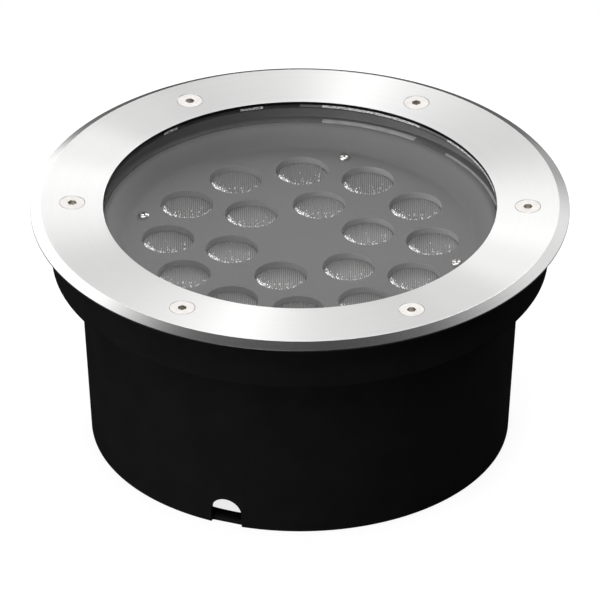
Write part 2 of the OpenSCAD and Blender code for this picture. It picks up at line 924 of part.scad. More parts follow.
module earth_screw() {
    color("#d8d8d8")
        translate([earth_x, earth_y, z_ceiling - lug_t])
            rotate([180, 0, 0])
                pan_screw(m4, lug_t + thread_engage - tip_room);
}

// Rubber grommet in the floor, where the LED leads pass
module wire_grommet() {
    bore = lead_d + 2 * loose;
    color("#2b2b2b")
        translate([0, wire_hole_y, 0])
            union() {
                ring(bore, wire_hole_r - clr, z_ceiling - grommet_lip, z_floor + grommet_lip);
                ring(bore, wire_hole_r + grommet_lip, z_ceiling - grommet_lip, z_ceiling);
                ring(bore, wire_hole_r + grommet_lip, z_floor, z_floor + grommet_lip);
            }
}

// Routes of the leads from the middle of the driver at the ceiling of the chamber. They pass the walls
// of the case, the poles of the terminal block and the grommet, and end just above the board.
wall_x = driver_l / 2;
exit_z = z_lead_hole - z_ceiling;
pole_y = terminal_y - driver_y;
pole_z = z_pole - z_ceiling;
grommet_y = wire_hole_y - driver_y;
board_z = z_board - z_ceiling;
lug_y = earth_y - driver_y;
lug_end_x = earth_x - lug_tongue_l - lug_barrel_l + cut;
lead_end = 0.3;
led_lead_route = [
    [wall_x - 5, -lead_spread, exit_z + 4], [wall_x - 4.5, -lead_spread, exit_z + 1],
    [wall_x, -lead_spread, exit_z], [wall_x + 6, -lead_spread, exit_z], [wall_x + 8, -11, -11],
    [34, grommet_y + 2, -12], [18, grommet_y - 1, -12], [6, grommet_y - 1, -9], [1.1, grommet_y, -3],
    [1.1, grommet_y, board_z + 2], [2.2, grommet_y, board_z + 4.5], [6, grommet_y, board_z + 5.5],
    [8.6, grommet_y, board_z + 3.5], [8.8, grommet_y, board_z + lead_end]
];
led_return_route = [
    [wall_x - 5, lead_spread, exit_z + 4], [wall_x - 4.5, lead_spread, exit_z + 1],
    [wall_x, lead_spread, exit_z], [wall_x + 8, lead_spread - 1, exit_z], [wall_x + 12, -8, -12],
    [38, grommet_y, -15], [18, grommet_y - 5, -15], [4, grommet_y - 4, -11], [-1.1, grommet_y, -4],
    [-1.1, grommet_y, board_z + 2], [-2.2, grommet_y, board_z + 4.5], [-6, grommet_y, board_z + 5.5],
    [-8.6, grommet_y, board_z + 3.5], [-8.8, grommet_y, board_z + lead_end]
];
live_route = [
    [-pole_pitch, pole_y - 1, pole_z], [-pole_pitch, pole_y + 5, pole_z],
    [-pole_pitch, pole_y + 7.5, pole_z], [-pole_pitch - 1, pole_y + 10, pole_z],
    [-20, -24, -7], [-1 - wall_x, -20, -8],
    [-8 - wall_x, -10, -9], [-6 - wall_x, -lead_spread, exit_z], [-wall_x, -lead_spread, exit_z],
    [4.5 - wall_x, -lead_spread, exit_z + 1], [5 - wall_x, -lead_spread, exit_z + 4]
];
neutral_route = [
    [pole_pitch, pole_y - 1, pole_z], [pole_pitch, pole_y + 5, pole_z],
    [pole_pitch, pole_y + 7.5, pole_z], [pole_pitch - 0.5, pole_y + 9.5, pole_z - 2],
    [pole_pitch - 3, pole_y + 10.5, -14], [1, pole_y + 11, -18.5], [-6, -29, -20], [-20, -27, -20],
    [-3 - wall_x, -20, -18], [-11 - wall_x, -6, -15], [-7 - wall_x, lead_spread, exit_z - 1],
    [-wall_x, lead_spread, exit_z], [4.5 - wall_x, lead_spread, exit_z + 1],
    [5 - wall_x, lead_spread, exit_z + 4]
];
earth_route = [
    [0, pole_y - 1, pole_z], [0, pole_y + 5, pole_z], [0, pole_y + 7.5, pole_z],
    [1.2, pole_y + 10, pole_z],
    [7, pole_y + 13, -4.5], [lug_end_x - 6, lug_y, -2.2], [lug_end_x - 0.5, lug_y, -lug_barrel_r]
];
module lead(route)
    translate([0, driver_y, z_ceiling])
        tube(route, lead_d / 2);

module led_lead_positive() {
    color("#b3261e")
        lead(led_lead_route);
}

module led_lead_negative() {
    color("#202020")
        lead(led_return_route);
}

module supply_lead_live() {
    color("#6b4226")
        lead(live_route);
}

module supply_lead_neutral() {
    color("#2b4c9b")
        lead(neutral_route);
}

module earth_lead() {
    color("#4f8a34")
        lead(earth_route);
}

sleeve();
bezel();
bezel_screws();
top_gasket();
glass();
seat_gasket();
reflector();
reflector_screws();
for (i = [0:LENS_COUNT - 1])
    lens(i);
lens_holders();
led_packages();
led_board();
board_screws();
thermal_pad();
lamp_body();
wire_grommet();
led_lead_positive();
led_lead_negative();
driver_case();
driver_board();
driver_transformer();
driver_capacitors();
driver_lid();
driver_screws();
terminal_block();
terminal_screws();
supply_lead_live();
supply_lead_neutral();
earth_lead();
earth_lug();
earth_screw();
cover_gasket();
bottom_cover();
cover_screws();
gland_washers();
gland_bodies();
gland_locknuts();
gland_seals();
gland_nuts();
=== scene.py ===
"""The looks of the in-ground light: meshes, procedural materials, light, floor and camera."""

import math
import random

import bmesh
import bpy
from mathutils import Matrix, Vector


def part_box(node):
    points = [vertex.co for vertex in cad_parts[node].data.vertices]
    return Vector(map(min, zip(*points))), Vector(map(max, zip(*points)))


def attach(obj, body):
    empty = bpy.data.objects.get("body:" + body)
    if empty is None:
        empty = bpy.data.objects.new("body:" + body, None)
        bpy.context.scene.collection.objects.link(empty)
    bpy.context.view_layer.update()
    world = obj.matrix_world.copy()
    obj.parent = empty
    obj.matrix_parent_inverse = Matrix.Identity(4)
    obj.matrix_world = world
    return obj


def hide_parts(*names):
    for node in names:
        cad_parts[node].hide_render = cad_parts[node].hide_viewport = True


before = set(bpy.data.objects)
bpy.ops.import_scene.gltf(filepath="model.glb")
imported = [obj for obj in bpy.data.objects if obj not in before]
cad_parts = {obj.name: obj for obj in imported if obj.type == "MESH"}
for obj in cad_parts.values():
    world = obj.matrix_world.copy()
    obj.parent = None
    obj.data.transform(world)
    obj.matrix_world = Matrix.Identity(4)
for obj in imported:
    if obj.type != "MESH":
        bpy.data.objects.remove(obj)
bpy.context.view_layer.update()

MM = 0.001
TURN = math.radians(20.6)  # heading of the camera's right-hand side

# Heights, radii and the places of screws, in millimetres and degrees
Z_FACE, Z_BEZEL, Z_GLASS, Z_FLANGE = 104.0, 101.5, 102.8, 100.7
Z_GLASS_BASE, Z_RIM, Z_DISH, Z_DISH_UNDER, Z_LENS = 94.0, 93.8, 86.9, 84.9, 84.4
BEZEL_R, OPENING_R, GLASS_R, RIM_R = 109.96, 80.3, 85.3, 80.9
SCREW_RING_R, SCREW_TURN, SCREW_COUNT = 92.9, 19.7, 6
POST_RING_R, POST_TURN, POST_COUNT = 66.5, SCREW_TURN + 75, 4
SLEEVE_BASE_R, LIP_H = 85.3, 2.0

# The bezel's sloping outer edge, and how far below the glass's face the painted shade on its inner
# edge ends
CHAMFER_W, CHAMFER_H, SHADE_BELOW = 4.2, 2.0, 0.2

# The glass's underside stands this much higher than the solid's, clear of the seat gasket's top,
# because faces in one plane flicker
GLASS_LIFT = 0.03

# The lens faces are shown wider than the solids by LENS_EXTRA, so that the gap round them,
# LENS_GAP, doesn't read as a black line
LENS_COUNT, LENS_EXTRA, LENS_GAP = 18, 0.3, 0.2
RIB_PITCH, RIB_DEPTH = 0.81, 0.2

# Glints of a lens, each kind in turn: heading and its spread in degrees, and spread of the reach
GLINT_KINDS = [(-148, 18, 0.9), (-148, 18, 0.9), (-148, 18, 0.7), (-100, 38, 0.3), (-100, 38, 3.0)]
GLINT_COUNT, GLINT_REACH, GLINT_SHIFT = 160, 10.5, 3.8
# Glints are left out nearer the rim than this, and further back than this
GLINT_MARGIN, GLINT_BACK = 0.8, 2.5

# Stretches of the ring round the glass with painted glints, and the side with painted shade, as
# heading from the camera's right and half-width
PAINTED_GLINT_EDGES = [(68, 15.5), (25.5, 16), (104.3, 3.4), (131.2, 2.6)]
SHADED_EDGE = (134, 44)
# Stretches of the gasket's top with painted reflections, with their radius and half their breadth
# as well
PAINTED_REFLECTIONS = [(69.3, 14.3, 82.2, 1.3), (27, 16, 81.6, 0.7)]

# Values between which most of a noise lies, and a narrower span that gives more contrast
NOISE, NARROW_NOISE = (0.3, 0.7), (0.35, 0.65)

# Material slots: of the faces that a tool cuts, of the bezel, and the number held free for a cut
CUT_SLOT = 1
FACE_SLOT, EDGE_SLOT, SHADE_SLOT, HOLE_SLOT, COVERED_SLOT = range(5)
FREE_SLOTS = 5


def rgb(r, g=None, b=None):
    return (r, r if g is None else g, r if b is None else b, 1.0)


def toned(colour, factor):
    """The colour made darker or paler."""
    return rgb(*(min(1.0, c * factor) for c in colour[:3]))


def per(size):
    """The scale of a noise with grains of this size in millimetres."""
    return 1 / (size * MM)


def turned(x, y, z):
    """A direction or place given from the camera's side: X to its right, Y away from it."""
    return Matrix.Rotation(TURN, 3, "Z") @ Vector((x, y, z))


# Node helpers

class Nodes:
    """A node tree, with short calls to add nodes."""

    def __init__(self, owner, output):
        owner.use_nodes = True
        self.tree = owner.node_tree
        self.tree.nodes.clear()
        self.out = self.tree.nodes.new("ShaderNode" + output)

    def add(self, kind, inputs=None, **settings):
        node = self.tree.nodes.new("ShaderNode" + kind)
        for name, value in settings.items():
            setattr(node, name, value)
        for name, value in (inputs or {}).items():
            self.put(node.inputs[name], value)
        return node

    def put(self, socket, value):
        if isinstance(value, bpy.types.NodeSocket):
            self.tree.links.new(value, socket)
        else:
            socket.default_value = value

    def surface(self, shader):
        self.put(self.out.inputs["Surface"], shader.outputs[0])

    def math(self, operation, a, b=0.0, c=0.0):
        node = self.add("Math", operation=operation)
        for socket, value in zip(node.inputs, (a, b, c)):
            self.put(socket, value)
        return node.outputs[0]

    def waves(self, operation, value, pitch):
        """Sine or cosine waves, one to each pitch in millimetres."""
        return self.math(operation, self.math("MULTIPLY", value, 2 * math.pi / (pitch * MM)))

    def place(self):
        return self.add("TexCoord").outputs["Object"]

    def apart(self, vector):
        return self.add("SeparateXYZ", {"Vector": vector}).outputs

    def together(self, x, y):
        return self.add("CombineXYZ", {0: x, 1: y}).outputs[0]

    def polar(self):
        """Radius and angle round the Z axis, and height, from the object's own coordinates."""
        x, y, z = self.apart(self.place())
        square = self.math("ADD", self.math("MULTIPLY", x, x), self.math("MULTIPLY", y, y))
        return self.math("SQRT", square), self.math("ARCTAN2", y, x), z

    def noise(self, scale, detail=3.0, roughness=0.5, vector=None):
        inputs = {"Scale": scale, "Detail": detail, "Roughness": roughness,
                  "Vector": vector or self.place()}
        return self.add("TexNoise", inputs).outputs["Fac"]

    def range(self, value, low, high, to_low, to_high, **settings):
        inputs = {"Value": value, "From Min": low, "From Max": high,
                  "To Min": to_low, "To Max": to_high}
        return self.add("MapRange", inputs, **settings).outputs["Result"]

    def around(self, noise, middle, share):
        """The middle value, lower and higher by up to this share along with a noise."""
        return self.range(noise, *NOISE, middle * (1 - share), middle * (1 + share))

    def mix(self, share, a, b):
        node = self.add("Mix", data_type="RGBA")
        self.put(node.inputs["Factor"], share)
        self.put(node.inputs[6], a)
        self.put(node.inputs[7], b)
        return node.outputs[2]

    def speckled(self, colour, spread, scale):
        """The colour with soft darker and paler patches."""
        share = self.range(self.noise(scale), *NOISE, 0, 1)
        return self.mix(share, toned(colour, 1 - spread), toned(colour, 1 + spread))

    def bump(self, height, depth, strength, normal=None):
        """A bump of this depth in millimetres, over another one if that is given."""
        inputs = {"Height": height, "Distance": depth * MM, "Strength": strength}
        if normal:
            inputs["Normal"] = normal
        return self.add("Bump", inputs).outputs["Normal"]

    def stretch(self, angle, centre, half):
        """1 over a stretch of the ring about a heading, and 0 elsewhere."""
        away = self.math("COSINE", self.math("SUBTRACT", angle, math.radians(centre) + TURN))
        return self.math("GREATER_THAN", away, math.cos(math.radians(half)))


class Material(Nodes):
    """A new material and its node tree."""

    def __init__(self, name):
        self.material = bpy.data.materials.new(name)
        super().__init__(self.material, "OutputMaterial")

    def principled(self, **inputs):
        """Sets a Principled shader as the surface. Its inputs are named with _ for a space."""
        shader = self.add("BsdfPrincipled")
        for key, value in inputs.items():
            self.put(shader.inputs[key.replace("_", " ")], value)
        self.surface(shader)
        return self.material


# Materials. Scales of noise are per metre; grains, pitches and depths are in millimetres.

def brushed_ring(name, colour, roughness, anisotropic, line, depth):
    """Metal that was brushed in circles round the Z axis."""
    m = Material(name)
    r, angle, _ = m.polar()
    strokes_per_radian = 1.6
    place = m.together(m.math("MULTIPLY", r, per(line)),
                       m.math("MULTIPLY", angle, strokes_per_radian))
    lines = m.noise(1.0, 6.0, 0.62, place)
    wide = m.noise(0.12, 3.0, 0.5, place)
    tone = m.math("ADD", m.math("MULTIPLY", lines, 0.6), m.math("MULTIPLY", wide, 0.4))
    return m.principled(
        Base_Color=m.mix(m.range(tone, *NARROW_NOISE, 0, 1), toned(colour, 0.955), colour),
        Metallic=1.0,
        Roughness=m.around(tone, roughness, 0.06),
        Anisotropic=anisotropic,
        Tangent=m.add("Tangent", direction_type="RADIAL", axis="Z").outputs[0],
        Normal=m.bump(lines, depth, 0.5),
    )


def plain_metal(name, colour, roughness, grain=0.25, depth=0.01, spread=0.06):
    """Turned or plated metal with a fine grain."""
    m = Material(name)
    fine = m.noise(per(grain), 4.0, 0.6)
    return m.principled(
        Base_Color=m.speckled(colour, spread, 400.0),
        Metallic=1.0,
        Roughness=m.around(fine, roughness, 0.2),
        Normal=m.bump(fine, depth, 0.4),
    )


def moulded(name, colour, roughness, grain=0.35, specular=0.5, spread=0.1):
    """Moulded plastic or rubber with a spark-eroded skin."""
    m = Material(name)
    fine = m.noise(per(grain), 5.0, 0.6)
    broad = m.noise(45.0, 2.0)
    return m.principled(
        Base_Color=m.speckled(colour, spread, 60.0),
        Roughness=m.around(broad, roughness, 0.08),
        Specular_IOR_Level=specular,
        Normal=m.bump(fine, 0.02, 0.5),
    )


def cast_metal(name, colour, roughness):
    """Die-cast alloy with a powder coat: an orange-peel skin over a slightly uneven casting."""
    m = Material(name)
    peel = m.noise(1100.0, 4.0, 0.55)
    uneven = m.noise(160.0, 2.0)
    normal = m.bump(uneven, 0.12, 0.25)
    return m.principled(
        Base_Color=m.speckled(colour, 0.08, 120.0),
        Metallic=0.35,
        Roughness=m.around(uneven, roughness, 0.1),
        Normal=m.bump(peel, 0.04, 0.5, normal),
    )


def printed_board(name, colour, copper, pitch):
    """A circuit board: solder mask with tracks just under it."""
    m = Material(name)
    cells = m.add("TexVoronoi", {"Scale": per(pitch), "Vector": m.place()},
                  feature="F1", distance="MANHATTAN").outputs["Distance"]
    track = m.range(cells, 0.42, 0.46, 0, 1)
    return m.principled(
        Base_Color=m.mix(track, colour, copper),
        Roughness=m.range(track, 0, 1, 0.32, 0.42),
        Normal=m.bump(track, 0.03, 0.4),
    )


def wound_copper(name):
    """Enamelled wire in layers: the gaps between its turns are darker."""
    m = Material(name)
    turns = m.waves("SINE", m.apart(m.place())[2], 0.45)
    share = m.range(turns, -1, 1, 0, 1)
    return m.principled(
        Base_Color=m.mix(share, rgb(0.16, 0.06, 0.02), rgb(0.45, 0.2, 0.07)),
        Metallic=0.6,
        Roughness=m.range(turns, -1, 1, 0.45, 0.28),
        Normal=m.bump(turns, 0.1, 0.6),
    )


def insulation(name, colour):
    """The coloured sheath of a lead."""
    m = Material(name)
    fine = m.noise(2600.0)
    return m.principled(
        Base_Color=m.speckled(colour, 0.12, 350.0),
        Roughness=m.range(fine, *NOISE, 0.36, 0.46),
        Normal=m.bump(fine, 0.01, 0.5),
    )


def clear_glass(name):
    """Clear thin-walled glass: it lets all rays pass and adds the gloss of its outer faces."""
    m = Material(name)
    gloss_share = 0.22
    outside = m.math("SUBTRACT", 1.0, m.add("NewGeometry").outputs["Backfacing"])
    fresnel = m.add("Fresnel", {"IOR": 1.45}).outputs[0]
    smear = m.range(m.noise(30.0), *NOISE, 0.02, 0.05)
    clear = m.add("BsdfTransparent", {"Color": rgb(0.99)})
    gloss = m.add("BsdfGlossy", {"Color": rgb(1.0), "Roughness": smear})
    share = m.math("MULTIPLY", m.math("MULTIPLY", fresnel, outside), gloss_share)
    m.surface(m.add("MixShader", {0: share, 1: clear.outputs[0], 2: gloss.outputs[0]}))
    return m.material


def lens_plastic(name, colour):
    """Clear plastic over a pale cup: it reads as a mid grey, with painted shade in the grooves of
    its ribs and painted light on their ridges.
    """
    m = Material(name)
    x, y, _ = m.apart(m.place())
    across = m.math("ADD", m.math("MULTIPLY", x, math.cos(TURN)),
                    m.math("MULTIPLY", y, math.sin(TURN)))
    ribs = m.range(m.waves("COSINE", across, RIB_PITCH), -1, 1, 0, 1)
    return m.principled(
        # Painted shade in the rib grooves and painted light on the ridges
        Base_Color=m.mix(ribs, toned(colour, 0.72), toned(colour, 1.28)),
        Roughness=m.range(m.noise(300.0, 2.0), *NOISE, 0.2, 0.26),
        Specular_IOR_Level=0.5,
    )


def mirror_plastic(name):
    """The facets of clear plastic that throw light straight back."""
    m = Material(name)
    fine = m.noise(700.0, 2.0)
    return m.principled(
        Base_Color=m.mix(m.range(fine, *NARROW_NOISE, 0, 1), rgb(0.62), rgb(0.85)),
        Metallic=0.85,
        Roughness=m.range(fine, *NOISE, 0.08, 0.14),
    )


def painted(name, colour, roughness, rim_light_colour=None):
    """Satin paint on the reflector plate, with painted light towards the rim over the slope's
    shade, if a colour for it is given.
    """
    m = Material(name)
    fine = m.noise(1500.0, 4.0)
    tone = m.speckled(colour, 0.025, 30.0)
    # Painted light towards the rim, which offsets the shade on the slope
    if rim_light_colour:
        light_from, light_to = 73 * MM, 81 * MM
        rim_light = m.range(m.polar()[0], light_from, light_to, 0, 1)
        tone = m.mix(rim_light, tone, rim_light_colour)
    return m.principled(
        Base_Color=tone,
        Roughness=m.around(fine, roughness, 0.04),
        Normal=m.bump(fine, 0.0012, 0.5),
        Specular_IOR_Level=0.3,
    )


def edge_with_painted_light(name, colour, shaded, glint_colour):
    """Coat on a covered edge, with painted shade over one side and painted glints in fine strokes
    over stretches of it.
    """
    m = Material(name)
    _, angle, height = m.polar()
    strokes_per_radian, strokes_up = 60.0, 2.2 / MM
    place = m.together(m.math("MULTIPLY", angle, strokes_per_radian),
                       m.math("MULTIPLY", height, strokes_up))
    strokes = m.noise(1.0, 4.0, 0.6, place)
    # Painted glints over the listed stretches, broken into fine strokes
    glinting = m.stretch(angle, *PAINTED_GLINT_EDGES[0])
    for edge in PAINTED_GLINT_EDGES[1:]:
        glinting = m.math("MAXIMUM", glinting, m.stretch(angle, *edge))
    glinting = m.math("MULTIPLY", glinting, m.range(strokes, 0.4, 0.54, 0, 1))
    # Painted shade over one side
    coat = m.mix(m.stretch(angle, *SHADED_EDGE), colour, shaded)
    return m.principled(
        Base_Color=m.mix(glinting, coat, glint_colour),
        Roughness=m.range(strokes, *NOISE, 0.45, 0.6),
        Normal=m.bump(strokes, 0.01, 0.4),
    )


def rubber_with_painted_reflections(name, colour, pale):
    """Gasket rubber, paler over stretches of painted reflection on its top."""
    m = Material(name)
    r, angle, _ = m.polar()
    fine = m.noise(per(0.35), 5.0, 0.6)
    # Painted reflections: paler stretches at given headings and radii
    wide, narrow = (
        m.math("MULTIPLY", m.stretch(angle, heading, half),
               m.math("COMPARE", r, middle * MM, breadth * MM))
        for heading, half, middle, breadth in PAINTED_REFLECTIONS
    )
    reflection = m.math("MAXIMUM", wide, narrow)
    patches = m.range(m.noise(180.0), *NARROW_NOISE, 0.75, 1.0)
    reflection = m.math("MULTIPLY", reflection, patches)
    return m.principled(
        Base_Color=m.mix(reflection, m.speckled(colour, 0.06, 60.0), pale),
        Roughness=m.range(fine, *NOISE, 0.55, 0.65),
        Normal=m.bump(fine, 0.02, 0.5),
    )


STEEL = rgb(0.86, 0.86, 0.855)
FACE = brushed_ring("bezel_face", STEEL, 0.62, anisotropic=0.95, line=0.16, depth=0.006)
EDGE = brushed_ring("bezel_edge", STEEL, 0.16, anisotropic=0.3, line=0.2, depth=0.004)
# Near-black metal as painted shade: on the bezel's inner edge above the glass, and on its outer
# side wall and underside
PAINTED_SHADE_EDGE = plain_metal("bezel_edge_painted_shade", rgb(0.015), 0.5)
MACHINED = plain_metal("bezel_holes", rgb(0.5), 0.5)
SCREW = plain_metal("screw_steel", rgb(0.55, 0.53, 0.515), 0.38)
SMALL_SCREW = plain_metal("small_screw_steel", rgb(0.75, 0.74, 0.72), 0.24,
                          grain=0.3, depth=0.03, spread=0.1)
SOCKET = plain_metal("screw_socket", rgb(0.62, 0.59, 0.55), 0.3)
# The bezel's inner edge behind the glass: painted shade over the left rear, painted glints in
# stretches round the rear
COVERED_EDGE = edge_with_painted_light("bezel_edge_in_glass", rgb(0.16), rgb(0.02), rgb(0.85))
GROUND_EDGE = moulded("ground_glass_edge", rgb(0.15), 0.6, spread=0.05)
GLASS = clear_glass("clear_glass")
# Gasket rubber with painted reflections in two stretches at the right rear
RUBBER = rubber_with_painted_reflections("gasket_rubber", rgb(0.145), rgb(0.56))
DARK_RUBBER = moulded("black_rubber", rgb(0.02), 0.65)
# Reflector paint with painted light on the slope towards the rim
PLATE = painted("reflector_paint", rgb(0.15), 0.6, rgb(0.188))
# The plate's paint made paler as painted light, which offsets the shade on the pocket walls and
# collars
POCKET = painted("pocket_wall_painted_light", rgb(0.38), 0.6)
LENS = lens_plastic("lens_plastic", rgb(0.201))
PRISM = mirror_plastic("lens_prisms")
SLEEVE = moulded("sleeve_plastic", rgb(0.0098), 0.6, grain=0.5, specular=0.0)
CAST = cast_metal("die_cast_body", rgb(0.075, 0.08, 0.085), 0.5)
COVER = cast_metal("die_cast_cover", rgb(0.085, 0.09, 0.095), 0.46)
WHITE = moulded("white_plastic", rgb(0.72, 0.71, 0.68), 0.45)
CASE = moulded("driver_plastic", rgb(0.62, 0.62, 0.6), 0.5)
TERMINAL = moulded("terminal_plastic", rgb(0.75, 0.73, 0.66), 0.4)
PAD = moulded("pad_silicone", rgb(0.28, 0.36, 0.44), 0.7)
BOARD = printed_board("led_board_mask", rgb(0.76, 0.76, 0.73), rgb(0.62, 0.62, 0.6), pitch=4.0)
CIRCUIT = printed_board("driver_board_mask", rgb(0.02, 0.12, 0.05), rgb(0.04, 0.2, 0.08),
                        pitch=3.0)
LED = moulded("led_phosphor", rgb(0.8, 0.66, 0.22), 0.35)
WINDING = wound_copper("wound_copper")
CAN = moulded("capacitor_sleeve", rgb(0.02, 0.03, 0.045), 0.35)
BRASS = plain_metal("tinned_brass", rgb(0.72, 0.55, 0.28), 0.3)
NICKEL = plain_metal("nickel_plate", rgb(0.66, 0.64, 0.6), 0.26)
ZINC = plain_metal("zinc_screw", rgb(0.62, 0.62, 0.62), 0.32)
WIRES = {
    "led_lead_positive": insulation("red_sheath", rgb(0.42, 0.02, 0.015)),
    "led_lead_negative": insulation("black_sheath", rgb(0.015)),
    "supply_lead_live": insulation("brown_sheath", rgb(0.12, 0.04, 0.015)),
    "supply_lead_neutral": insulation("blue_sheath", rgb(0.02, 0.07, 0.3)),
    "earth_lead": insulation("green_sheath", rgb(0.06, 0.25, 0.03)),
}


# Mesh helpers, all in millimetres until the mesh is made

def new_object(name, data):
    o = bpy.data.objects.new(name, data)
    bpy.context.scene.collection.objects.link(o)
    return o


def new_piece(name, mesh, materials, body, nodes, centre=(0.0, 0.0)):
    """Adds a mesh to the scene as a piece that rides on a body and stands for these CAD nodes."""
    piece = new_object(name, mesh)
    if not mesh.materials:
        for material in materials:
            mesh.materials.append(material)
    piece.location = (centre[0] * MM, centre[1] * MM, 0)
    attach(piece, body)
    if nodes:
        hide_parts(*nodes)
    return piece


def to_mesh(name, bm, sharp=32.0):
    """Turns a bmesh in millimetres into a smooth-shaded mesh in metres."""
    bmesh.ops.recalc_face_normals(bm, faces=bm.faces)
    mesh = bpy.data.meshes.new(name)
    bm.to_mesh(mesh)
    bm.free()
    mesh.transform(Matrix.Scale(MM, 4))
    shade(mesh, sharp)
    return mesh


def shade(mesh, sharp):
    """Shades a mesh smooth, apart from the edges sharper than this angle."""
    mesh.polygons.foreach_set("use_smooth", [True] * len(mesh.polygons))
    mesh.set_sharp_from_angle(angle=math.radians(sharp))


def polar(radius, degrees):
    a = math.radians(degrees)
    return radius * math.cos(a), radius * math.sin(a)


def radius_of(polygon):
    """The distance of a polygon's centre from the Z axis, in millimetres."""
    return math.hypot(polygon.center.x, polygon.center.y) / MM


def rounded(points, radii, steps=4, keep=0.0):
    """A closed outline with its corners rounded to these radii. With keep, a point is set this far
    beyond each rounding, so that the flat faces between them stay flat when shaded."""
    out = []
    for i, (point, radius) in enumerate(zip(points, radii)):
        p = Vector(point)
        if radius <= 0:
            out.append(tuple(p))
            continue
        a = (Vector(points[i - 1]) - p).normalized()
        b = (Vector(points[(i + 1) % len(points)]) - p).normalized()
        half = a.angle(b) / 2
        reach = radius / math.tan(half)
        centre = p + (a + b).normalized() * (radius / math.sin(half))
        start, end = p + a * reach - centre, p + b * reach - centre
        sweep = math.pi - 2 * half
        sign = 1 if start.x * end.y - start.y * end.x > 0 else -1
        if keep:
            out.append(tuple(p + a * (reach + keep)))
        for k in range(steps + 1):
            t = sign * sweep * k / steps
            arm = Vector((start.x * math.cos(t) - start.y * math.sin(t),
                          start.x * math.sin(t) + start.y * math.cos(t)))
            out.append(tuple(centre + arm))
        if keep:
            out.append(tuple(p + b * (reach + keep)))
    return out


def ring(bm, radius, z, count, centre=(0.0, 0.0), turn=0.0):
    """Vertices in a circle, or a single one on the axis."""
    return [bm.verts.new((centre[0] + radius * math.cos(turn + 2 * math.pi * k / count),
                          centre[1] + radius * math.sin(turn + 2 * math.pi * k / count), z))
            for k in range(count if radius else 1)]


def lathe(bm, outline, count=256, centre=(0.0, 0.0), material=0, closed=True):
    """Turns an outline of (radius, height) round a vertical axis."""
    rings = [ring(bm, r, z, count, centre) for r, z in outline]
    for a, b in zip(rings, rings[1:] + (rings[:1] if closed else [])):
        for k in range(count):
            n = (k + 1) % count
            corners = (a[k % len(a)], a[n % len(a)], b[n % len(b)], b[k % len(b)])
            corners = list(dict.fromkeys(corners))
            if len(corners) > 2:
                bm.faces.new(corners).material_index = material
    return bm


def bar(bm, low, high, material=0):
    """Joins two loops of vertices into a closed bar."""
    count = len(low)
    for k in range(count):
        n = (k + 1) % count
        bm.faces.new((low[k], low[n], high[n], high[k])).material_index = material
    bm.faces.new(low[::-1]).material_index = material
    bm.faces.new(high).material_index = material


def prism_tool(bm, sides, radius, z_low, z_high, centre, turn=0.0):
    """A straight bar with a regular outline."""
    low, high = (ring(bm, radius, z, sides, centre, turn) for z in (z_low, z_high))
    bar(bm, low, high, CUT_SLOT)


def free_slots(mesh):
    """Holds material slots free, so that the cut faces keep their indices."""
    for _ in range(FREE_SLOTS):
        mesh.materials.append(None)


def cut(mesh, tools, name, sharp):
    """Subtracts a bmesh of closed tools from a mesh; the cut faces keep the tools' material."""
    bmesh.ops.recalc_face_normals(tools, faces=tools.faces)
    tool_mesh = bpy.data.meshes.new(name + "_tool")
    tools.to_mesh(tool_mesh)
    tools.free()
    tool_mesh.transform(Matrix.Scale(MM, 4))
    free_slots(mesh)
    free_slots(tool_mesh)
    base = new_object(name + "_base", mesh)
    tool = new_object(name + "_tool", tool_mesh)
    modifier = base.modifiers.new("cut", "BOOLEAN")
    modifier.object = tool
    modifier.operation = "DIFFERENCE"
    modifier.solver = "EXACT"
    modifier.material_mode = "INDEX"
    bpy.context.view_layer.update()
    depsgraph = bpy.context.evaluated_depsgraph_get()
    result = bpy.data.meshes.new_from_object(base.evaluated_get(depsgraph))
    result.name = name
    # Clearing the slots resets the indices, so they are put back
    indices = [0] * len(result.polygons)
    result.polygons.foreach_get("material_index", indices)
    result.materials.clear()
    result.polygons.foreach_set("material_index", indices)
    for o in (base, tool):
        bpy.data.objects.remove(o)
    shade(result, sharp)
    return result


def bevel(piece, width, segments=2):
    """Rounds the sharp edges of a piece."""
    modifier = piece.modifiers.new("rounding", "BEVEL")
    modifier.width = width * MM
    modifier.segments = segments
    modifier.limit_method = "ANGLE"
    modifier.angle_limit = math.radians(35)
    modifier.use_clamp_overlap = True
    modifier.harden_normals = True


SCREWS = [polar(SCREW_RING_R, SCREW_TURN + 60 * k) for k in range(SCREW_COUNT)]
POSTS = [polar(POST_RING_R, POST_TURN + 90 * k) for k in range(POST_COUNT)]
LENSES = []
for index in range(LENS_COUNT):
    low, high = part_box(f"lens_{index + 1:02d}")
    LENSES.append(((low.x + high.x) / 2 / MM, (low.y + high.y) / 2 / MM))
LENS_R = (high.x - low.x) / 2 / MM + LENS_EXTRA
POCKET_R = LENS_R + LENS_GAP


# Pieces

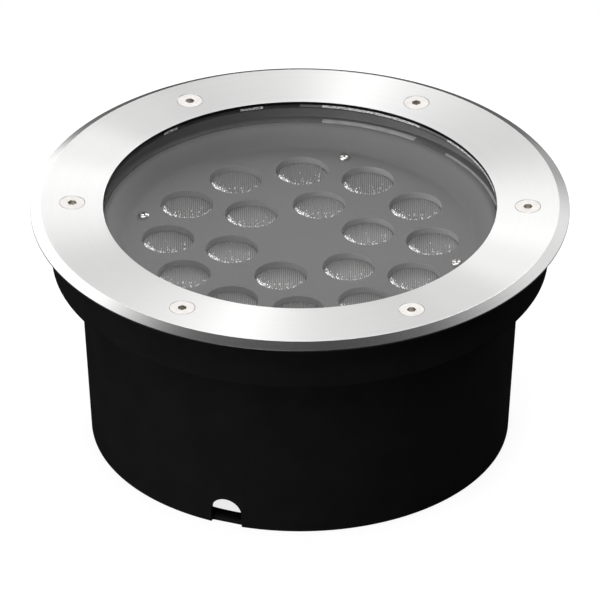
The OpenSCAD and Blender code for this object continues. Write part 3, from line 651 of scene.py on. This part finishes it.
def make_bezel():
    z_shade = Z_GLASS - SHADE_BELOW
    outline = rounded(
        [(OPENING_R, Z_BEZEL), (BEZEL_R, Z_BEZEL), (BEZEL_R, Z_FACE - CHAMFER_H),
         (BEZEL_R - CHAMFER_W, Z_FACE), (OPENING_R, Z_FACE), (OPENING_R, z_shade)],
        [0.0, 0.1, 0.12, 0.15, 0.12, 0.0], keep=0.15,
    )
    body = to_mesh("bezel", lathe(bmesh.new(), outline, 360))
    hole_r, sink_r, sink_depth, over = 2.6, 5.6, 2.4, 0.2
    countersink = [(0, Z_BEZEL - 1), (hole_r, Z_BEZEL - 1), (hole_r, Z_FACE - sink_depth),
                   (sink_r, Z_FACE + over), (0, Z_FACE + over)]
    tools = bmesh.new()
    for place in SCREWS:
        lathe(tools, countersink, 64, place, HOLE_SLOT)
    mesh = cut(body, tools, "bezel", 25.0)
    # The centre of a polygon tells its face, with a little slack for the rounded corners
    for polygon in mesh.polygons:
        if polygon.material_index == HOLE_SLOT:
            continue
        r, z = radius_of(polygon), polygon.center.z / MM
        # The inner edge above the glass, the outer side wall and the underside take the painted
        # shade
        if r < OPENING_R + 0.03:
            slot = SHADE_SLOT if z > z_shade else COVERED_SLOT
        elif z < Z_FACE - 2.15 or r > BEZEL_R - 0.1:
            slot = SHADE_SLOT
        elif z > Z_FACE - 0.01 and r < BEZEL_R - 4.3:
            slot = FACE_SLOT
        else:
            slot = EDGE_SLOT
        polygon.material_index = slot
    new_piece("bezel_ring", mesh, [FACE, EDGE, PAINTED_SHADE_EDGE, MACHINED, COVERED_EDGE],
              "lamp", ["bezel"])


def make_bezel_screws():
    length, thread_r, head_r, cone, sink = 16, 2.5, 5.1, 2.6, 0.05
    hex_r, hex_depth, hex_turn = 1.95, 2.3, 37
    bm = bmesh.new()
    outline = rounded(
        [(0, Z_FACE - length), (thread_r - 0.2, Z_FACE - length),
         (thread_r, Z_FACE - length + 0.4), (thread_r, Z_FACE - cone),
         (head_r, Z_FACE - sink - 0.2), (head_r, Z_FACE - sink), (0, Z_FACE - sink)],
        [0, 0, 0, 0.1, 0.05, 0.12, 0], keep=0.04,
    )
    for place in SCREWS:
        lathe(bm, outline, 64, place)
    mesh = to_mesh("bezel_screws", bm)
    tools = bmesh.new()
    for k, place in enumerate(SCREWS):
        turn = math.radians(SCREW_TURN + hex_turn * k)
        prism_tool(tools, 6, hex_r, Z_FACE - hex_depth, Z_FACE + 0.3, place, turn)
    mesh = cut(mesh, tools, "bezel_screws", 30.0)
    new_piece("bezel_screw_heads", mesh, [SCREW, SOCKET], "lamp", ["bezel_screws"])


def make_glass():
    z_base, raised_r = Z_GLASS_BASE + GLASS_LIFT, OPENING_R - 0.6
    outline = rounded(
        [(0, z_base), (GLASS_R, z_base), (GLASS_R, Z_FLANGE), (raised_r, Z_FLANGE),
         (raised_r, Z_GLASS), (0, Z_GLASS)],
        [0, 0.3, 0.3, 0, 0.45, 0], 3, keep=0.1,
    )
    mesh = to_mesh("glass", lathe(bmesh.new(), outline))
    for polygon in mesh.polygons:
        if radius_of(polygon) > GLASS_R - 0.32:
            polygon.material_index = 1
    new_piece("glass_disc", mesh, [GLASS, GROUND_EDGE], "lamp", ["glass"])


def make_reflector():
    slope_w, flat_w, wall, steps = 9.8, 1.0, 2.0, 24
    post_hole_r, collar_w, collar_h = 1.55, 1.4, 2.5
    upper, lower = [], []
    for i in range(steps + 1):
        t = i / steps
        x = RIM_R - flat_w - slope_w + t * slope_w
        z = Z_DISH + (Z_RIM - Z_DISH) * (1 - math.cos(math.pi * t)) / 2
        upper.append((x, z))
        lower.append((x + (flat_w if i else 0), z - wall))
    outline = [(0, Z_DISH_UNDER)] + lower[:-1] + [(RIM_R, Z_RIM - wall), (RIM_R, Z_RIM)]
    outline += upper[::-1] + [(0, Z_DISH)]
    mesh = to_mesh("reflector", lathe(bmesh.new(), outline), 40)
    tools = bmesh.new()
    for places, sides, radius in ((LENSES, 96, POCKET_R), (POSTS, 32, post_hole_r)):
        for place in places:
            prism_tool(tools, sides, radius, Z_DISH_UNDER - 1, Z_DISH + 1, place)
    mesh = cut(mesh, tools, "reflector", 40)
    piece = new_piece("reflector_plate", mesh, [PLATE, POCKET], "lamp", ["reflector"])
    bevel(piece, 0.35, 3)
    z_low, outer_r = Z_DISH_UNDER - collar_h, POCKET_R + collar_w
    collar = [(POCKET_R, z_low), (outer_r, z_low),
              (outer_r, Z_DISH_UNDER), (POCKET_R, Z_DISH_UNDER)]
    collars = bmesh.new()
    for place in LENSES:
        lathe(collars, collar, 64, place)
    mesh = to_mesh("collars", collars)
    new_piece("reflector_collars", mesh, [POCKET], "lamp", [])


def cross_tool(bm, x, y, z, head, height, turn):
    """A plus-shaped bar that tapers towards its tip."""
    long, short = head * 0.32, head * 0.085
    corners = [(long, -short), (long, short), (short, short)]
    for _ in range(3):
        corners += [(-v, u) for u, v in corners[-3:]]
    loops = []
    for level, size in ((z - height * 0.1, 0.75), (z + (height + 0.5), 1.05)):
        loops.append([bm.verts.new((x + size * (u * math.cos(turn) - v * math.sin(turn)),
                                    y + size * (u * math.sin(turn) + v * math.cos(turn)), level))
                      for u, v in corners])
    bar(bm, *loops, CUT_SLOT)


def make_reflector_screws():
    thread_r, length, head, height = 1.25, 8.0, 5.0, 1.6
    # The crown of a pan head, in shares of its width and height
    crown = [(0.5, 0.2), (0.47, 0.5), (0.4, 0.78), (0.28, 0.95), (0.15, 1.0), (0, 1.0)]
    outline = [(0, Z_DISH - length), (thread_r, Z_DISH - length), (thread_r, Z_DISH),
               (head / 2, Z_DISH)]
    outline += [(head * r, Z_DISH + height * h) for r, h in crown]
    bm = bmesh.new()
    tools = bmesh.new()
    for k, (x, y) in enumerate(POSTS):
        lathe(bm, outline, 40, (x, y))
        cross_tool(tools, x, y, Z_DISH, head, height, 0.4 + 0.5 * k)
    mesh = cut(to_mesh("reflector_screws", bm), tools, "reflector_screws", 38)
    new_piece("reflector_screw_heads", mesh, [SMALL_SCREW, SOCKET],
              "lamp", ["reflector_screws"])


def lens_mesh(seed):
    """A ribbed lens face, its glints, and the cone below. Its origin is on the lens axis."""
    pick = random.Random(seed)
    bm = bmesh.new()
    along, sides = 40, 72
    # Shares of the radius over which the rim falls away and the ribs fade out
    fall, fade_out = 0.1, 0.05
    rim_drop, flange_h, flange_w, glint_sink = 0.15, 1.5, 1, 0.15
    foot_r, hollow_r, z_foot, z_hollow, z_hollow_top = 4.3, 2.73, 73.2, 76.7, 77.5
    half_count = int(LENS_R / (RIB_PITCH / 2))
    columns = []
    for i in range(-half_count, half_count + 1):
        x = i * RIB_PITCH / 2
        reach = math.sqrt(LENS_R ** 2 - x * x)
        column = []
        for j in range(along + 1):
            y = -reach + 2 * reach * j / along
            r = math.hypot(x, y) / LENS_R
            drop = rim_drop * max(0.0, (r - (1 - fall)) / fall) ** 2
            fade = min(1.0, max(0.0, (1 - r) / fade_out))
            z = Z_LENS - drop - fade * RIB_DEPTH * (i % 2)
            column.append(bm.verts.new(turned(x, y, z)))
        columns.append(column)
    for a, b in zip(columns, columns[1:]):
        for j in range(along):
            bm.faces.new((a[j], b[j], b[j + 1], a[j + 1]))
    outline = [(LENS_R, Z_LENS - rim_drop), (LENS_R, Z_LENS - flange_h),
               (LENS_R - flange_w, Z_LENS - flange_h), (foot_r, z_foot),
               (hollow_r, z_foot), (hollow_r, z_hollow), (0, z_hollow_top)]
    lathe(bm, outline, sides, closed=False)
    for k in range(GLINT_COUNT):
        heading, wander, spread = GLINT_KINDS[k % len(GLINT_KINDS)]
        side = pick.gauss(heading, wander)
        x, y = polar(GLINT_REACH - abs(pick.gauss(0, spread)), side)
        y += GLINT_SHIFT
        if math.hypot(x, y) < LENS_R - GLINT_MARGIN and y < GLINT_BACK:
            glint(bm, pick, turned(x, y, Z_LENS - glint_sink))
    return to_mesh("lens", bm, 20)


def glint(bm, pick, place):
    """A small wedge on a rib. Its sloping face mirrors the light from high up in front."""
    length, width = pick.uniform(0.2, 0.46), pick.uniform(0.09, 0.22)
    rise = length * math.tan(math.radians(pick.gauss(40, 8)))
    turn = Matrix.Rotation(TURN + math.radians(pick.gauss(-10, 14)), 3, "Z")
    corners = [(-0.5, -0.5, 0), (0.5, -0.5, 0), (0.5, 0.5, 1), (-0.5, 0.5, 1),
               (-0.5, 0.5, 0), (0.5, 0.5, 0)]
    v = [bm.verts.new(place + turn @ Vector((x * width, y * length, z * rise)))
         for x, y, z in corners]
    for face in ((0, 1, 2, 3), (3, 2, 5, 4), (0, 3, 4), (1, 5, 2), (0, 4, 5, 1)):
        bm.faces.new([v[k] for k in face]).material_index = 1


def make_lenses():
    meshes = [lens_mesh(seed) for seed in range(3)]
    for k, place in enumerate(LENSES):
        node = f"lens_{k + 1:02d}"
        mesh = meshes[k % len(meshes)]
        new_piece(f"ribbed_{node}", mesh, [LENS, PRISM], "lamp", [node], place)


def make_sleeve():
    band_r, waist_r, wall, lip_w = 101.3, 90.0, 2, 8
    z_step, z_step_top = 78.4, 80.4
    lip_r = SLEEVE_BASE_R - lip_w
    outline = rounded(
        [(lip_r, 0), (SLEEVE_BASE_R, 0), (waist_r, z_step), (band_r, z_step), (band_r, Z_BEZEL),
         (band_r - wall, Z_BEZEL), (band_r - wall, z_step_top), (waist_r - wall, z_step_top),
         (SLEEVE_BASE_R - wall, LIP_H), (lip_r, LIP_H)],
        [0.4, 0.5, 1.2, 1.2, 0.3, 0.3, 0.6, 0.6, 0.6, 0.4],
    )
    mesh = to_mesh("sleeve", lathe(bmesh.new(), outline))
    for through in (True, False):
        tools = bmesh.new()
        for side in (-1, 1):
            notch_tool(tools, side, through)
        mesh = cut(mesh, tools, "sleeve", 30)
    new_piece("ground_sleeve", mesh, [SLEEVE], "ground_sleeve", ["sleeve"])


def notch_tool(bm, side, through):
    """The space of a cable notch: an arch through the wall above the lip, or the cut in the
    lip's outer edge."""
    half, z_arch, steps = 6.6, 5.9, 20
    if through:
        arch = [(half * math.cos(math.pi * k / steps),
                 z_arch + half * math.sin(math.pi * k / steps)) for k in range(steps + 1)]
        outline = [(half, LIP_H)] + arch + [(-half, LIP_H)]
        near = SLEEVE_BASE_R - 3.0
    else:
        outline = [(half, -1.0), (half, LIP_H + 0.5), (-half, LIP_H + 0.5), (-half, -1.0)]
        near = SLEEVE_BASE_R - 2.0
    loops = [[bm.verts.new((x, side * y, z)) for x, z in outline]
             for y in (near, SLEEVE_BASE_R + 3.0)]
    bar(bm, *loops)


make_bezel()
make_bezel_screws()
make_glass()
make_reflector()
make_reflector_screws()
make_lenses()
make_sleeve()


# Materials and rounded edges of the CAD nodes that stay

KEPT = {
    "top_gasket": DARK_RUBBER, "seat_gasket": RUBBER, "lens_holders": WHITE, "led_packages": LED,
    "led_board": BOARD, "board_screws": ZINC, "thermal_pad": PAD, "lamp_body": CAST,
    "wire_grommet": DARK_RUBBER, "driver_case": CASE, "driver_board": CIRCUIT,
    "driver_transformer": WINDING, "driver_capacitors": CAN, "driver_lid": CASE,
    "driver_screws": ZINC, "terminal_block": TERMINAL, "terminal_screws": ZINC,
    "earth_lug": BRASS, "earth_screw": ZINC, "cover_gasket": DARK_RUBBER,
    "bottom_cover": COVER, "cover_screws": ZINC, "gland_washers": DARK_RUBBER,
    "gland_bodies": NICKEL, "gland_locknuts": NICKEL, "gland_seals": DARK_RUBBER,
    "gland_nuts": NICKEL, **WIRES,
}
ROUNDED = {"lamp_body": 0.5, "bottom_cover": 0.3, "gland_nuts": 0.25, "gland_bodies": 0.2,
           "gland_locknuts": 0.2}
for node, material in KEPT.items():
    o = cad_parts[node]
    o.data.materials.clear()
    o.data.materials.append(material)
    shade(o.data, 30)
    if node in ROUNDED:
        bevel(o, ROUNDED[node])


# Studio

def make_floor():
    """A white floor that keeps the object's shadow, and can't be seen from below."""
    radius, drop, glow_level = 340, 0.0001, 0.82
    bm = bmesh.new()
    bmesh.ops.create_circle(bm, cap_ends=True, segments=128, radius=radius)
    mesh = to_mesh("floor", bm)
    floor = new_object("floor", mesh)
    floor.location.z = -drop
    m = Material("floor_white")
    path = m.add("LightPath").outputs
    seen = m.math("MAXIMUM", path["Is Camera Ray"], path["Is Glossy Ray"])
    seen = m.math("MAXIMUM", seen, path["Is Transmission Ray"])
    diffuse = m.add("BsdfDiffuse", {"Color": rgb(0.3)})
    strength = m.math("MULTIPLY", seen, glow_level)
    glow = m.add("Emission", {"Color": rgb(1.0), "Strength": strength})
    above = m.add("AddShader", {0: diffuse.outputs[0], 1: glow.outputs[0]})
    below = m.add("BsdfTransparent")
    back = m.add("NewGeometry").outputs["Backfacing"]
    m.surface(m.add("MixShader", {0: back, 1: above.outputs[0], 2: below.outputs[0]}))
    mesh.materials.append(m.material)


# The world's light by height, from straight down (-1) to straight up (1)
HEIGHT_LEVELS = [
    (-1.0, 0.3), (-0.45, 0.03), (-0.02, 0.095), (0.06, 0.181), (0.3, 0.0), (0.55, 0.0),
    (0.75, 0.61), (0.9, 0.1), (1.0, 0.0),
]
# Soft boxes in it: heading from the camera's right, height, outer and inner half-angle, level
SOFT_BOXES = [
    (240, 15, 16, 6, 3.36), (240, 65, 28, 8, 2.37), (45, 8, 16, 6, 6.6), (15, 15, 16, 6, 0.91),
    (210, 8, 16, 6, 9.75), (75, 52, 16, 6, 3.79), (45, 22, 28, 8, 0.82), (300, 65, 20, 6, 2.2),
    (105, 30, 45, 10, 1.32), (180, 8, 16, 6, 3.34),
]
# Heights between which the soft boxes fade in above the horizon
HORIZON = (-0.02, 0.06)
# Share of white that glossy rays see. In full, it would wash out the bands of the brushed bezel.
GLOSSY_WHITE = 0.03


def make_world():
    world = bpy.data.worlds.new("studio")
    bpy.context.scene.world = world
    m = Nodes(world, "OutputWorld")
    direction = m.add("TexCoord").outputs["Generated"]
    height = m.apart(direction)[2]
    ramp = m.add("ValToRGB", {"Fac": m.range(height, -1, 1, 0, 1)})
    elements = ramp.color_ramp.elements
    while len(elements) < len(HEIGHT_LEVELS):
        elements.new(0.5)
    for element, (z, level) in zip(elements, HEIGHT_LEVELS):
        element.position = (z + 1) / 2
        element.color = rgb(level)
    boxes = 0.0
    for heading, rise, *angles, level in SOFT_BOXES:
        a, e = math.radians(heading), math.radians(rise)
        aim = turned(math.cos(e) * math.cos(a), math.cos(e) * math.sin(a), math.sin(e))
        facing = m.add("VectorMath", {0: direction, 1: tuple(aim)}, operation="DOT_PRODUCT")
        outer, inner = (math.cos(math.radians(angle)) for angle in angles)
        box = m.range(facing.outputs["Value"], outer, inner, 0.0, level,
                      interpolation_type="SMOOTHSTEP")
        boxes = m.math("ADD", boxes, box)
    boxes = m.math("MULTIPLY", boxes, m.range(height, *HORIZON, 0, 1))
    light = m.math("ADD", ramp.outputs["Color"], boxes)
    path = m.add("LightPath").outputs
    seen = m.math("MAXIMUM", path["Is Camera Ray"], path["Is Transmission Ray"])
    glossy = m.math("MULTIPLY", path["Is Glossy Ray"], GLOSSY_WHITE)
    seen = m.math("MAXIMUM", seen, glossy)
    m.surface(m.add("Background", {"Color": m.mix(seen, light, rgb(1.0)), "Strength": 1.0}))


def make_camera():
    """A long lens, as in the photograph. The width is what it shows at its aim, in metres."""
    elevation = math.radians(31.82)
    aim = Vector((0, 0, 0.0581))
    lens, sensor, width = 1600.0, 36.0, 0.2451
    data = bpy.data.cameras.new("camera")
    data.lens, data.sensor_width = lens, sensor
    data.clip_start, data.clip_end = 0.5, 40.0
    camera = new_object("camera", data)
    back = turned(0, -math.cos(elevation), math.sin(elevation))
    camera.location = aim + back * (width * lens / sensor)
    camera.rotation_euler = (-back).to_track_quat("-Z", "Y").to_euler()
    bpy.context.scene.camera = camera


make_floor()
make_world()
make_camera()
bpy.context.scene.view_settings.view_transform = "Standard"
